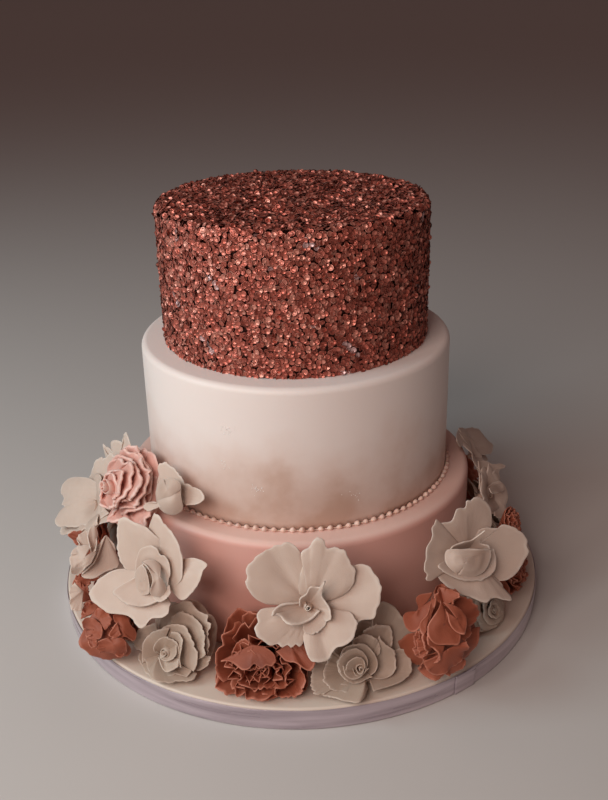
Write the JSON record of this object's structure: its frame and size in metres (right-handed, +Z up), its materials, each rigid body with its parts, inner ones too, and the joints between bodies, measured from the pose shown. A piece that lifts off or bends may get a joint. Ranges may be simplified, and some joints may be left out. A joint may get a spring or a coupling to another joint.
{
  "type": "tiered wedding cake",
  "caption": "Round three-tier cake on an iced board, with two smooth iced tiers, a top tier crusted with sequins, and sugar flowers round its foot.",
  "frame": {"origin": "centre of the board's underside", "axes": "+Z up through the tiers, -Y towards the open flower at the front, +X to the right of someone facing it"},
  "size_m": [0.356, 0.3568, 0.2925],
  "materials": {
    "board_foil": "foil-wrapped board",
    "board_icing": "satin rolled icing",
    "satin_ribbon": "satin weave",
    "blush_icing": "satin rolled icing, blush above and terracotta below",
    "ivory_icing": "satin rolled icing with a beige wash at its foot",
    "piped_icing": "piped royal icing",
    "sugar_sequins": "metallic copper sequins",
    "sugar_white": "dried flower paste",
    "sugar_rust": "dried flower paste with a dusted edge",
    "sugar_blush": "dried flower paste"
  },
  "bodies": {
    "root": {"drum": "board_foil", "board_icing": "board_icing", "ribbon": "satin_ribbon", "low_tier": "blush_icing", "middle_tier": "ivory_icing", "snail_trail": "piped_icing", "top_tier": "sugar_sequins", "open_flower_front": "sugar_white", "open_flower_left": "sugar_white", "open_flower_right": "sugar_white", "open_flower_far_left": "sugar_white", "blush_rose": "sugar_blush", "rosebud": "sugar_white", "cupped_flower_left": "sugar_white", "ruffled_flower_left_upper": "sugar_rust", "ruffled_flower_left": "sugar_rust", "white_rose_left": "sugar_white", "ruffled_flower_front": "sugar_rust", "white_rose_front": "sugar_white", "ruffled_flower_right": "sugar_rust", "white_rose_right": "sugar_white", "ruffled_flower_far_right": "sugar_rust", "ruffled_flower_right_upper": "sugar_rust", "open_flower_right_middle": "sugar_white", "open_flower_far_right": "sugar_white", "white_rose_back_right": "sugar_white", "ruffled_flower_back_right": "sugar_rust", "blush_rose_back": "sugar_blush", "open_flower_back_right": "sugar_white", "ruffled_flower_back": "sugar_rust", "open_flower_back_left": "sugar_white", "white_rose_back_left": "sugar_white", "ruffled_flower_back_left": "sugar_rust", "white_rose_far_left": "sugar_white", "ruffled_flower_far_left": "sugar_rust"}
  },
  "joints": []
}
